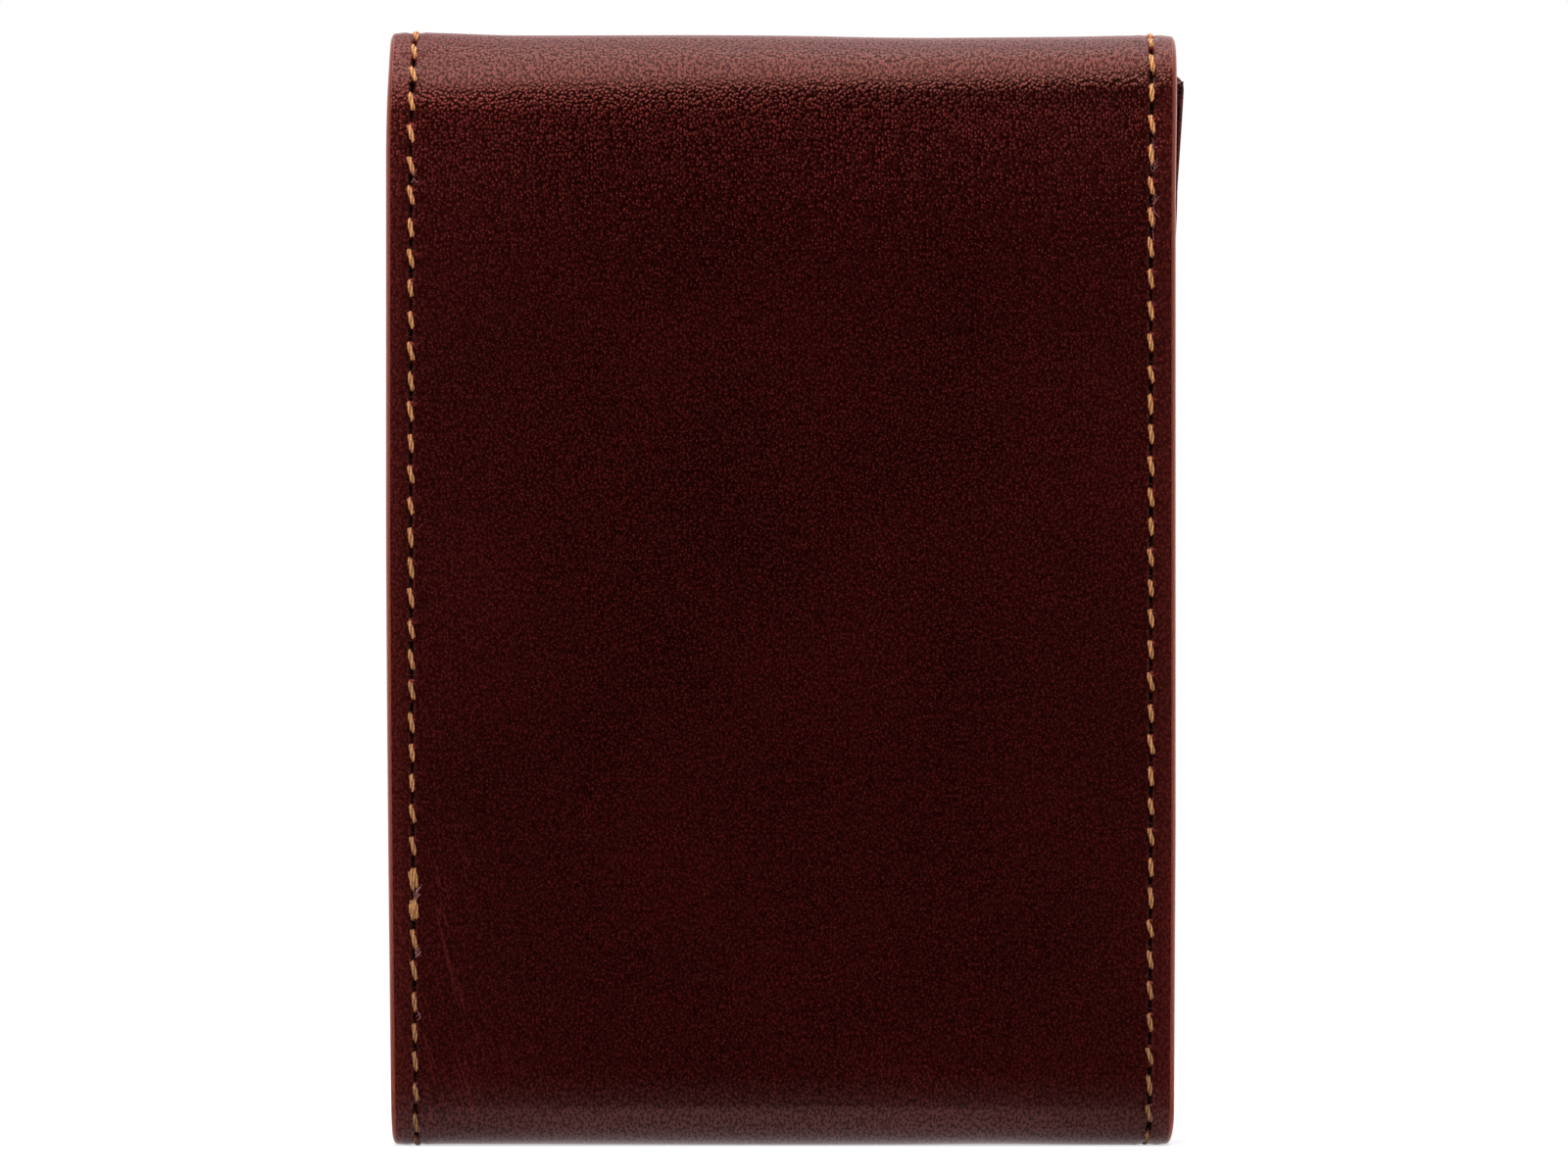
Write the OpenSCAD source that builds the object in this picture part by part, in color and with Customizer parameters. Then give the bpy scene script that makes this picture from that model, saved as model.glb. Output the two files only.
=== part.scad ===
// Upright business card case in lined leather, millimetres.
// The back stands at -Y, the flap hangs at +Y, and the case rests on its bottom fold at z = 0.
// One leather strip runs from the pocket mouth down the front, round the bottom fold, up the back,
// over the top fold and down the flap. It is divided here where the folds turn.

/* [Case] */
// Width over the side edges
case_w = 75; // [70:0.5:92]
// Height from the bottom fold to the top fold
case_h = 106; // [99:0.5:125]
// Depth from the back to the closed flap
case_d = 15; // [13:0.5:19]
// Outer radius of the two bends of the top fold
top_fold_r = 6; // [4.5:0.25:6.25]
// Outer radius of the two bends of the bottom fold
bottom_fold_r = 4; // [3:0.25:4.75]
// Gap between the stitches inside the closed flap and the pocket front
flap_gap = 0.4; // [0.2:0.05:0.8]
// Radius of the two lower corners of the flap
flap_corner_r = 8; // [6:0.25:12]
// Radius of the two corners at the pocket mouth
mouth_corner_r = 1.5; // [0.5:0.25:2]
// How far the pocket mouth lies below the top of the case
mouth_drop = 4.1; // [3.9:0.1:6]
// Slit between parts of the strip that turn on each other
fold_slit = 0.3; // [0.2:0.02:0.4]

/* [Layers] */
// Thickness of the outer leather
leather_t = 1.2; // [1.1:0.05:1.5]
// Thickness of the lining leather
lining_t = 0.6; // [0.4:0.05:0.8]
// Thickness of a slip pocket's panel
panel_t = 0.7; // [0.5:0.05:0.9]
// Thickness of the gusset leather
gusset_t = 0.7; // [0.5:0.05:0.9]
// Thickness of the stiffener boards
stiffener_t = 0.4; // [0.2:0.05:0.5]
// Distance from the side edges to a stiffener
stiffener_side = 7; // [5:0.5:15]
// Distance from the folds, and from the flap's lower edge, to a stiffener
stiffener_end = 8; // [6:0.5:15]

/* [Gussets] */
// Width of a gusset's stitched edges
gusset_edge_w = 3.8; // [3.4:0.1:4.4]
// How far a gusset's inner crease lies in from the side edge
gusset_depth = 8.9; // [7:0.1:9.2]

/* [Slip pockets] */
// Width of the thumb notch in both slip pockets
notch_w = 46; // [25:1:50]
// Depth of the thumb notch in both slip pockets
notch_d = 11; // [5:0.5:16]
// Distance from the top fold's bend to the flap's slip pocket
flap_pocket_drop = 4; // [1:0.5:10]

/* [Stitching] */
// Distance between stitch holes, before it is fitted to the length of each row
stitch_pitch = 2.95; // [2.4:0.05:4]
// Distance from an edge to its row of stitches
stitch_inset = 2.4; // [1.9:0.1:2.8]
// Thickness of the thread
thread_d = 0.5; // [0.35:0.01:0.55]
// Space between the thread and the leather round it
thread_gap = 0.05; // [0.02:0.01:0.1]
// Thickness of one strand where two share a hole
strand_t = 0.28; // [0.2:0.01:0.3]

/* [Hidden] */
$fn = 48;
over = 1;                                       // how far a cutter reaches past what it cuts

leather_colour = "#43130f";
lining_colour = "#7d4a2b";
board_colour = "#b8a890";
thread_colour = "#c98e45";

// Faces, from the back to the front
half_w = case_w / 2;
strip_t = leather_t + lining_t;                 // outer leather and lining together
y_back = -case_d / 2;                           // outer face of the back
y_back_in = y_back + strip_t;                   // lining of the back
y_slip_in = y_back_in + panel_t;                // inner face of the rear slip pocket
y_flap = case_d / 2;                            // outer face of the flap
y_flap_in = y_flap - strip_t;                   // lining of the flap
inner_rise = thread_gap + thread_d;             // how far stitches stand out on the inside
y_pocket = y_flap_in - panel_t - inner_rise - flap_gap;     // outer face of the pocket front
y_pocket_in = y_pocket - strip_t;               // lining of the pocket front

// Heights
z_bend_top = case_h - top_fold_r;               // where the top fold starts to turn
z_mouth = case_h - mouth_drop;                  // pocket mouth
z_flap_pocket = z_bend_top - flap_pocket_drop;  // top of the flap's slip pocket

// Stitching
seam_x = half_w - stitch_inset;
corner_seam_r = flap_corner_r - stitch_inset;   // radius of the row round the flap's corners
corner_turn = stitch_pitch / corner_seam_r * 180 / PI;
end_gap = thread_gap + thread_d / 2 * tan(corner_turn / 2);     // keeps stitches that turn a corner apart
hole_d = 2 * (thread_gap + norm([end_gap + strand_t, thread_d / 2]));
groove_d = thread_d + 2 * thread_gap;           // grooves let the stitches lie flush
groove_w = hole_d + 4 * thread_gap;             // a little wider than the holes
row_margin = hole_d;                            // keeps a row's end holes whole
rear_stack = strip_t + panel_t + gusset_t;      // layers under the rear rows
front_stack = strip_t + gusset_t;               // layers under the front rows
flap_stack = strip_t + panel_t;                 // layers under the flap's row

// The strip's outer line in the Y-Z plane, as lines and bends. It is followed from the mouth down the
// front, under the bottom, up the back, over the top and down the flap, with the outside on the left.
bend_front = [y_pocket - bottom_fold_r, bottom_fold_r];
bend_rear = [y_back + bottom_fold_r, bottom_fold_r];
bend_top = [y_back + top_fold_r, z_bend_top];
bend_flap = [y_flap - top_fold_r, z_bend_top];
slit_bottom = asin(fold_slit / 2 / bottom_fold_r);
slit_top = asin(fold_slit / 2 / top_fold_r);

function straight(p, q) = [norm(q - p), 0, p, (q - p) / norm(q - p)];
function bend(c, r, from, to) = [abs(to - from) * PI / 180 * r, r, c, from, to];

pocket_line = [
    straight([y_pocket, z_mouth], [y_pocket, bottom_fold_r]),
    bend(bend_front, bottom_fold_r, 0, -45 + slit_bottom)
];
case_line = [
    bend(bend_front, bottom_fold_r, -45 - slit_bottom, -90),
    straight([bend_front.x, 0], [bend_rear.x, 0]),
    bend(bend_rear, bottom_fold_r, 270, 180),
    straight([y_back, bottom_fold_r], [y_back, z_bend_top]),
    bend(bend_top, top_fold_r, 180, 135 + slit_top)
];
spine_line = [
    bend(bend_top, top_fold_r, 135 - slit_top, 90),
    straight([bend_top.x, case_h], [bend_flap.x, case_h]),
    bend(bend_flap, top_fold_r, 90, 45 + slit_top)
];
flap_line = [
    bend(bend_flap, top_fold_r, 45 - slit_top, 0),
    straight([y_flap, z_bend_top], [y_flap, flap_corner_r])
];

function length_of(line, i = 0) = i < len(line) ? line[i][0] + length_of(line, i + 1) : 0;

// Point at distance s along one piece of a line, at a depth below the outer face
function on_piece(g, s, depth) = g[1] == 0
    ? g[2] + g[3] * s - [-g[3].y, g[3].x] * depth
    : let (a = g[3] + (g[4] - g[3]) * s / g[0]) g[2] + (g[1] - depth) * [cos(a), sin(a)];
function along(line, s, depth = 0, i = 0) = i == len(line) - 1 || s <= line[i][0]
    ? on_piece(line[i], s, depth)
    : along(line, s - line[i][0], depth, i + 1);

// Direction of the outward normal at distance s, in degrees from +Y towards +Z
function facing(line, s) =
    let (out = along(line, s, 0) - along(line, s, 1)) atan2(out.y, out.x);

// Places of the stitch holes along a line, from one distance to another
function hole_places(from, to) =
    let (n = round((to - from) / stitch_pitch)) [for (i = [0:n]) from + (to - from) * i / n];
function row_places(line) = hole_places(row_start(line), row_end(line));

// The row on the pocket front starts below the mouth, and the flap's row goes on round its lower edge.
// Otherwise a row stops short of where its part of the strip is divided.
function row_start(line) = line == pocket_line ? stitch_inset : row_margin;
function row_end(line) = length_of(line) - (line == flap_line ? 0 : row_margin);

// ---- Layers of the strip ----

// Extrudes a drawing in the Y-Z plane across the case
module across(w) {
    rotate([90, 0, 90])
        linear_extrude(height = w, center = true)
            children();
}

// Extrudes a drawing in the X-Z plane towards +Y, from y0 to y1
module from_front(y0, y1) {
    translate([0, y1, 0])
        rotate([90, 0, 0])
            linear_extrude(height = y1 - y0)
                children();
}

module bend_section(g, d0, d1) {
    reach = 2 * g[1] + over;
    middle = (g[3] + g[4]) / 2;
    translate(g[2])
        intersection() {
            difference() {
                circle(r = g[1] - d0);
                circle(r = g[1] - d1);
            }
            polygon([[0, 0], for (a = [g[3], middle, g[4]]) reach * [cos(a), sin(a)]]);
        }
}

module straight_section(g, d0, d1) {
    polygon([on_piece(g, 0, d1), on_piece(g, g[0], d1), on_piece(g, g[0], d0), on_piece(g, 0, d0)]);
}

// The section of the strip between two depths below its outer face
module section(line, d0, d1) {
    for (g = line)
        if (g[1] == 0) straight_section(g, d0, d1);
        else bend_section(g, d0, d1);
}

// One layer of the strip with its rows of stitch holes
module layer(line, d0, d1) {
    difference() {
        across(case_w) section(line, d0, d1);
        row_holes(line, d1);
    }
}

// The outer leather: a layer whose stitches lie in grooves
module outer_layer(line) {
    difference() {
        layer(line, 0, leather_t);
        for (side = [-1, 1])
            translate([side * seam_x, 0, 0])
                across(groove_w) section(line, -over, groove_d);
    }
}

// ---- Stitching ----

// Drills the holes of both side rows to a depth below the outer face
module row_holes(line, depth) {
    for (side = [-1, 1], s = row_places(line)) {
        p = along(line, s);
        translate([side * seam_x, p.x, p.y])
            rotate([facing(line, s) - 90, 0, 0])
                translate([0, 0, -depth - over])
                    cylinder(d = hole_d, h = depth + 2 * over);
    }
}

// Outline of one stitch: a bar between two holes, from depth b0 to b1, with both ends turned in to depth e
function stitch_outline(line, s0, s1, b0, b1, e) =
    let (
        a = s0 + end_gap,
        b = s1 - end_gap,
        steps = abs(facing(line, a) - facing(line, b)) < 0.1 ? 1 : 4,
        a_in = a + strand_t,
        b_in = b - strand_t
    ) [
        for (k = [0:steps]) along(line, a + (b - a) * k / steps, b0),
        along(line, b, e), along(line, b_in, e),
        for (k = [0:steps]) along(line, b_in + (a_in - b_in) * k / steps, b1),
        along(line, a_in, e), along(line, a, e)
    ];

// Stitches on the outside, whose ends meet the inner ones halfway through the layers
function outer_stitch(line, s0, s1, stack) =
    stitch_outline(line, s0, s1, thread_gap, thread_gap + thread_d, stack / 2 - thread_gap);
function inner_stitch(line, s0, s1, stack) =
    stitch_outline(line, s0, s1, stack + thread_gap + thread_d, stack + thread_gap, stack / 2 + thread_gap);

// A row along the strip. Holes between from and to go through the whole stack and carry inner stitches,
// and the others go through the strip alone.
module row(line, x, stack, from, to) {
    places = row_places(line);
    translate([x, 0, 0])
        for (i = [0:len(places) - 2]) {
            deep = places[i] > from && places[i + 1] <= to;
            across(thread_d)
                polygon(outer_stitch(line, places[i], places[i + 1], deep ? stack : strip_t));
            if (deep)
                across(thread_d)
                    polygon(inner_stitch(line, places[i], places[i + 1], stack));
        }
}

// A stitch on a flat face that looks towards +Y, from point p to point q in the X-Z plane
module flat_stitch(p, q, y_face, stack) {
    chord = [straight([0, 0], [norm(q - p), 0])];
    translate([p.x, y_face, p.y])
        rotate([0, -atan2(q.y - p.y, q.x - p.x), 0])
            linear_extrude(height = thread_d, center = true) {
                polygon(outer_stitch(chord, 0, norm(q - p), stack));
                polygon(inner_stitch(chord, 0, norm(q - p), stack));
            }
}

module flat_row(points, y_face, stack) {
    for (i = [0:len(points) - 2])
        flat_stitch(points[i], points[i + 1], y_face, stack);
}

module flat_holes(points, y_face, depth) {
    for (p = points)
        translate([p.x, y_face + over, p.y])
            rotate([90, 0, 0])
                cylinder(d = hole_d, h = depth + 2 * over);
}

// ---- Back of the case ----

// Boards are let into the leather, and end short of the edges and folds
module board(y0, z0, z1) {
    board_half = half_w - stiffener_side;
    translate([-board_half, y0, z0])
        cube([2 * board_half, stiffener_t, z1 - z0]);
}

module back_board() {
    board(y_back + leather_t - stiffener_t, bottom_fold_r + stiffener_end, z_bend_top - stiffener_end);
}

module back_leather() {
    color(leather_colour)
        difference() {
            outer_layer(case_line);
            back_board();
        }
}

module back_stiffener() {
    color(board_colour) back_board();
}

module back_lining() {
    color(lining_colour) layer(case_line, leather_t, strip_t);
}

// A circular notch centred on a pocket's top edge
module thumb_notch(z_top) {
    r = (pow(notch_w / 2, 2) + pow(notch_d, 2)) / (2 * notch_d);
    translate([0, z_top - notch_d + r]) circle(r = r);
}

module rear_slip_pocket() {
    color(lining_colour)
        difference() {
            from_front(y_back_in, y_slip_in)
                difference() {
                    translate([-half_w, bottom_fold_r]) square([case_w, z_bend_top - bottom_fold_r]);
                    thumb_notch(z_bend_top);
                }
            row_holes(case_line, rear_stack);
        }
}

// ---- Gussets ----

// Space inside the lining and the rear slip pocket, where the gussets end at the bottom
module pocket_space() {
    r = bottom_fold_r - strip_t;
    union() {
        for (c = [bend_rear, bend_front])
            translate(c) circle(r = r);
        translate([y_back_in, bottom_fold_r]) square([y_pocket_in - y_back_in, case_h]);
        translate([bend_rear.x, strip_t]) square([bend_front.x - bend_rear.x, case_h]);
    }
}

// Plan of the right gusset: stitched edges at the back and front, and two leaves that meet at a crease.
// A leaf's thickness is measured across it, so its ends are moved along Y by more than that.
module gusset_plan() {
    x_edge = half_w - gusset_edge_w;
    x_crease = half_w - gusset_depth;
    y_mid = (y_slip_in + y_pocket_in) / 2;
    half_gap = (y_pocket_in - y_slip_in) / 2;
    run = x_edge - x_crease;
    slope = (half_gap - gusset_t / 2) / run;
    shift = gusset_t * sqrt(1 + slope * slope);  // a leaf's thickness along Y
    nose = shift / 2 / slope;                    // how far the crease's faces lie from its middle
    inner_x = x_edge - gusset_t * (sqrt(1 + slope * slope) - 1) / slope;
    translate([0, y_mid])
        polygon([
            [half_w, -half_gap], [inner_x, -half_gap], [x_crease - nose, 0],
            [inner_x, half_gap], [half_w, half_gap], [half_w, half_gap - gusset_t],
            [x_edge, half_gap - gusset_t], [x_crease + nose, 0],
            [x_edge, -half_gap + gusset_t], [half_w, -half_gap + gusset_t]
        ]);
}

module right_gusset() {
    color(leather_colour)
        difference() {
            intersection() {
                linear_extrude(height = z_bend_top) gusset_plan();
                across(2 * case_w) pocket_space();
            }
            row_holes(case_line, rear_stack);
            row_holes(pocket_line, front_stack);
        }
}

module left_gusset() {
    mirror([1, 0, 0]) right_gusset();
}

// ---- Pocket front ----

// The mouth's row ends a stitch short of the side rows
mouth_half = seam_x - stitch_pitch;
mouth_row = [for (x = hole_places(-mouth_half, mouth_half)) [x, z_mouth - stitch_inset]];

module mouth_outline() {
    square_w = case_w - 2 * mouth_corner_r;
    translate([-half_w, -over]) square([case_w, z_mouth - mouth_corner_r + over]);
    translate([-square_w / 2, 0]) square([square_w, z_mouth]);
    for (side = [-1, 1])
        translate([side * square_w / 2, z_mouth - mouth_corner_r]) circle(r = mouth_corner_r);
}

module pocket_leather() {
    groove_half = -mouth_row[0].x + groove_w / 2;
    color(leather_colour)
        difference() {
            intersection() {
                outer_layer(pocket_line);
                from_front(-case_d, case_d) mouth_outline();
            }
            translate([-groove_half, y_pocket - groove_d, mouth_row[0].y - groove_w / 2])
                cube([2 * groove_half, groove_d + over, groove_w]);
            flat_holes(mouth_row, y_pocket, strip_t);
        }
}

module pocket_lining() {
    color(lining_colour)
        difference() {
            intersection() {
                layer(pocket_line, leather_t, strip_t);
                from_front(-case_d, case_d) mouth_outline();
            }
            flat_holes(mouth_row, y_pocket, strip_t);
        }
}

module mouth_seam() {
    color(thread_colour) flat_row(mouth_row, y_pocket, strip_t);
}

// ---- Flap ----

// Outline of the flap, moved in from its edges by e
module flap_outline(e = 0) {
    core = half_w - flap_corner_r;
    translate([-half_w + e, flap_corner_r]) square([case_w - 2 * e, case_h]);
    translate([-core, e]) square([2 * core, flap_corner_r]);
    for (side = [-1, 1])
        translate([side * core, flap_corner_r]) circle(r = flap_corner_r - e);
}

// Point at distance s along the row round the flap's lower edge, from its left corner to its right one
corner_run = PI / 2 * corner_seam_r;
bottom_run = case_w - 2 * flap_corner_r;
function round_flap(s) =
    let (core = half_w - flap_corner_r)
    s < corner_run
        ? let (a = 180 + 90 * s / corner_run)
            [-core, flap_corner_r] + corner_seam_r * [cos(a), sin(a)]
        : s <= corner_run + bottom_run
            ? [-core + s - corner_run, stitch_inset]
            : let (a = 270 + 90 * (s - corner_run - bottom_run) / corner_run)
                [core, flap_corner_r] + corner_seam_r * [cos(a), sin(a)];
flap_bottom_row = [for (s = hole_places(0, 2 * corner_run + bottom_run)) round_flap(s)];
// The side rows drill the first and the last of them
flap_bottom_holes = [for (i = [1:len(flap_bottom_row) - 2]) flap_bottom_row[i]];

module flap_bottom_groove() {
    from_front(y_flap - groove_d, y_flap + over)
        difference() {
            flap_outline(stitch_inset - groove_w / 2);
            flap_outline(stitch_inset + groove_w / 2);
            translate([-case_w, flap_corner_r + over]) square([2 * case_w, 2 * case_h]);
        }
}

// A layer of the flap: the strip's layer with its flat part carried down to the lower edge
module flap_layer(d0, d1) {
    difference() {
        intersection() {
            union() {
                across(case_w) section(flap_line, d0, d1);
                translate([-half_w, y_flap - d1, 0]) cube([case_w, d1 - d0, flap_corner_r]);
            }
            from_front(-case_d, case_d) flap_outline();
        }
        row_holes(flap_line, d1);
        flat_holes(flap_bottom_holes, y_flap, d1);
    }
}

module flap_board() {
    board(y_flap - leather_t, stitch_inset + stiffener_end, z_bend_top - stiffener_end);
}

module flap_leather() {
    color(leather_colour)
        difference() {
            flap_layer(0, leather_t);
            for (side = [-1, 1])
                translate([side * seam_x, 0, 0])
                    across(groove_w) section(flap_line, -over, groove_d);
            flap_bottom_groove();
            flap_board();
        }
}

module flap_stiffener() {
    color(board_colour) flap_board();
}

module flap_lining() {
    color(lining_colour) flap_layer(leather_t, strip_t);
}

module flap_slip_pocket() {
    color(lining_colour)
        difference() {
            from_front(y_flap_in - panel_t, y_flap_in)
                intersection() {
                    flap_outline();
                    difference() {
                        translate([-half_w, 0]) square([case_w, z_flap_pocket]);
                        thumb_notch(z_flap_pocket);
                    }
                }
            row_holes(flap_line, flap_stack);
            flat_holes(flap_bottom_holes, y_flap, flap_stack);
        }
}

module flap_seam() {
    bend_run = flap_line[0][0];
    color(thread_colour) {
        for (side = [-1, 1])
            row(flap_line, side * seam_x, flap_stack, bend_run + flap_pocket_drop, length_of(flap_line));
        flat_row(flap_bottom_row, y_flap, flap_stack);
    }
}

// ---- Side rows ----

module rear_seam(side) {
    rise_start = case_line[0][0] + case_line[1][0] + case_line[2][0];
    color(thread_colour)
        row(case_line, side * seam_x, rear_stack, rise_start, rise_start + case_line[3][0]);
}

module front_seam(side) {
    gusset_start = z_mouth - z_bend_top;
    color(thread_colour)
        row(pocket_line, side * seam_x, front_stack, gusset_start, pocket_line[0][0]);
}

module spine_seam(side) {
    color(thread_colour)
        row(spine_line, side * seam_x, strip_t, 0, length_of(spine_line));
}

// ---- Top fold ----

module spine_leather() {
    color(leather_colour) outer_layer(spine_line);
}

module spine_lining() {
    color(lining_colour) layer(spine_line, leather_t, strip_t);
}

back_leather();
back_stiffener();
back_lining();
rear_slip_pocket();
left_gusset();
right_gusset();
rear_seam(-1);  // rear_left_seam
rear_seam(1);  // rear_right_seam
pocket_leather();
pocket_lining();
front_seam(-1);  // front_left_seam
front_seam(1);  // front_right_seam
mouth_seam();
spine_leather();
spine_lining();
spine_seam(-1);  // spine_left_seam
spine_seam(1);  // spine_right_seam
flap_leather();
flap_stiffener();
flap_lining();
flap_slip_pocket();
flap_seam();
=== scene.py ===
"""Business card case in dark leather: the looks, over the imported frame.

Lengths named here are in millimetres unless they say otherwise; meshes are made in metres.
A place on the leather strip is given by x, across the case, and s, the distance along the strip's outer
face from the pocket's mouth: down the front, under the bottom, up the back, over the top, down the flap.
"""
import math

import bmesh
import bpy
import numpy as np
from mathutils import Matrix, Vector


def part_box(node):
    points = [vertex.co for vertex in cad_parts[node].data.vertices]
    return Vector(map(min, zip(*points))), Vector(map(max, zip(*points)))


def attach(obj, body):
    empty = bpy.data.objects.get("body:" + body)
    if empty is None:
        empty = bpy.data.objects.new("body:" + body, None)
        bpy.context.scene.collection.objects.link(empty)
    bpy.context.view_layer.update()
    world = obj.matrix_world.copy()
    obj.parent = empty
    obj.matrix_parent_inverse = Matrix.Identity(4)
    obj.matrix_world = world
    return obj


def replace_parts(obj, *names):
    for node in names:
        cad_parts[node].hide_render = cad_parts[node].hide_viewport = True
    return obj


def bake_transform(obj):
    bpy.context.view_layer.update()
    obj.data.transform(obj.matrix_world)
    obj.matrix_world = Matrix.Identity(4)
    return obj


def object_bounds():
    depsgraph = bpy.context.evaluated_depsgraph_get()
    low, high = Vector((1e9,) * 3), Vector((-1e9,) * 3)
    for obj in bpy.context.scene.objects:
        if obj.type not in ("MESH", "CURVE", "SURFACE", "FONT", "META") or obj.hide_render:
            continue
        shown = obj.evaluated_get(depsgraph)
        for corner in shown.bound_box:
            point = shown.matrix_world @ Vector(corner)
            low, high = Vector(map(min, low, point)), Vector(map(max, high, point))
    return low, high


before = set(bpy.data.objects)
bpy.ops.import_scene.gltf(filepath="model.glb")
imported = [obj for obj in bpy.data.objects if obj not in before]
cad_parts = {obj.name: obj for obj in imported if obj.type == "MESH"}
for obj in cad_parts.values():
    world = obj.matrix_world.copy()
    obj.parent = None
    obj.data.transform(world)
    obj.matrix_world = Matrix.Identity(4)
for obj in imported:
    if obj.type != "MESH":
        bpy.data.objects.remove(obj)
cad_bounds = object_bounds()
MM = 0.001


# ---- Sizes, from the frame where it gives them ----

def box_mm(node):
    low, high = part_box(node)
    return np.array(low) / MM, np.array(high) / MM


low, high = (np.array(corner) / MM for corner in cad_bounds)
HALF_W = (high[0] - low[0]) / 2
CASE_H = high[2]
Y_BACK, Y_FLAP = low[1], high[1]
Y_POCKET, Z_MOUTH = box_mm("pocket_leather")[1][1:]
TOP_R = 6.0  # bends of the top fold
BOTTOM_R = 4.0  # bends of the bottom fold
LEATHER_T = Y_FLAP - box_mm("flap_stiffener")[0][1]  # the board is let into the leather's inner face
slip_low, slip_high = box_mm("flap_slip_pocket")
STRIP_T = Y_FLAP - slip_high[1]  # leather and lining
PANEL_T = slip_high[1] - slip_low[1]  # panel of a slip pocket
GUSSET_T = 0.7
SLIP_IN = Y_BACK + STRIP_T + PANEL_T  # inner face of the rear slip pocket
POCKET_IN = Y_POCKET - STRIP_T  # lining of the pocket front
GUSSET_TOP = box_mm("right_gusset")[1][2]
GUSSET_EDGE = 3.8  # width of a gusset's stitched edges
GUSSET_CREASE = 28.6  # x of a gusset's inner crease
FLAP_CORNER = 8.0  # radius of the flap's lower corners
MOUTH_CORNER = 1.5  # radius of the corners at the pocket's mouth
NOTCH_W, NOTCH_D = 46, 11  # thumb notch in a slip pocket
SEAM_INSET = 2.4  # from an edge to its row of stitches
STITCH = 2.94  # from hole to hole
PHASE = {-1: 27.05, 1: 27.9}  # height of one hole of the left and the right row


# ---- The strip of leather ----

def line(start, end):
    """A straight piece: its length, and the point and outward normal at a distance along it."""
    start, end = np.array(start, float), np.array(end, float)
    length = np.linalg.norm(end - start)
    ahead = (end - start) / length
    outward = np.array([-ahead[1], ahead[0]])
    return length, lambda s: (start + np.outer(s, ahead), np.tile(outward, (len(s), 1)))


def bend(centre, radius, start, end):
    """A bend from one angle to another, in degrees from +Y towards +Z."""
    length = math.radians(abs(end - start)) * radius

    def at(s):
        angle = np.radians(start + (end - start) * s / length)
        outward = np.stack([np.cos(angle), np.sin(angle)], 1)
        return np.array(centre) + radius * outward, outward

    return length, at


STRIP = [
    line((Y_POCKET, Z_MOUTH), (Y_POCKET, BOTTOM_R)),
    bend((Y_POCKET - BOTTOM_R, BOTTOM_R), BOTTOM_R, 0, -90),
    line((Y_POCKET - BOTTOM_R, 0), (Y_BACK + BOTTOM_R, 0)),
    bend((Y_BACK + BOTTOM_R, BOTTOM_R), BOTTOM_R, 270, 180),
    line((Y_BACK, BOTTOM_R), (Y_BACK, CASE_H - TOP_R)),
    bend((Y_BACK + TOP_R, CASE_H - TOP_R), TOP_R, 180, 90),
    line((Y_BACK + TOP_R, CASE_H), (Y_FLAP - TOP_R, CASE_H)),
    bend((Y_FLAP - TOP_R, CASE_H - TOP_R), TOP_R, 90, 0),
    line((Y_FLAP, CASE_H - TOP_R), (Y_FLAP, 0)),
]
STARTS = np.concatenate([[0], np.cumsum([length for length, _ in STRIP])])
S_BOTTOM = (STARTS[2] + STARTS[3]) / 2  # middle of the bottom, where two skins meet
S_BACK = STARTS[4]  # lower end of the back's flat part
S_TOP = (STARTS[6] + STARTS[7]) / 2  # middle of the top, where two skins meet
S_END = STARTS[9]  # the flap's lower edge
# where the three bends that turn start and end: at the pocket front's foot, and the top fold's two
FOOT_BEND, REAR_BEND, FRONT_BEND = (tuple(STARTS[i:i + 2]) for i in (1, 5, 7))


def smooth(value, start, end):
    t = np.clip((value - start) / (end - start), 0, 1)
    return t * t * (3 - 2 * t)


SAG, SAG_RIGHT = 0.19, 0.33  # of the whole top fold, and further in a dip on its right
SOFT_REACH = 5.5  # how far along the strip the rear bend is softened


def sag(x, s):
    """How far the top fold sinks between its stitched sides: more towards the right."""
    over_top = smooth(s, *REAR_BEND) * (1 - smooth(s, *FRONT_BEND))
    across = SAG * smooth(x, -36, -25) + SAG_RIGHT * np.exp(-((x - 15) / 18) ** 2)
    return over_top * across


def softened(x, s):
    """The fold's rear bend is rounder at its left end than at its right one: how far it is drawn in."""
    middle = sum(REAR_BEND) / 2 - 1.2
    hump = np.cos(np.clip((s - middle) / SOFT_REACH, -1, 1) * math.pi / 2) ** 2
    return hump * (0.12 - 0.01 * x + 0.2 * smooth(-x, 22, 33) - 0.15 * smooth(x, 22, 33))


def drawn_in(x, z):
    """The sides aren't quite straight: they draw in towards the bottom, and a little at the top left."""
    left = 0.55 * np.clip(1 - z / 60, 0, 1) ** 1.5 + 0.3 * smooth(z, 94, 107)
    right = 0.18 * np.clip(1 - z / 30, 0, 1) + 0.25 * np.clip(1 - z / 3, 0, 1) ** 2
    right -= 0.1 * smooth(z, 90, 100)
    return x * (1 - np.where(x < 0, left, right) / HALF_W)


def flare(x, z):
    """The pocket front's right edge stands out near the mouth, past the back's."""
    out = 0.5 * smooth(z, 79, 91) + 0.55 * np.clip((z - 91) / 10, 0, 1.2)
    return out * smooth(x, HALF_W - 16, HALF_W)


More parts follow.
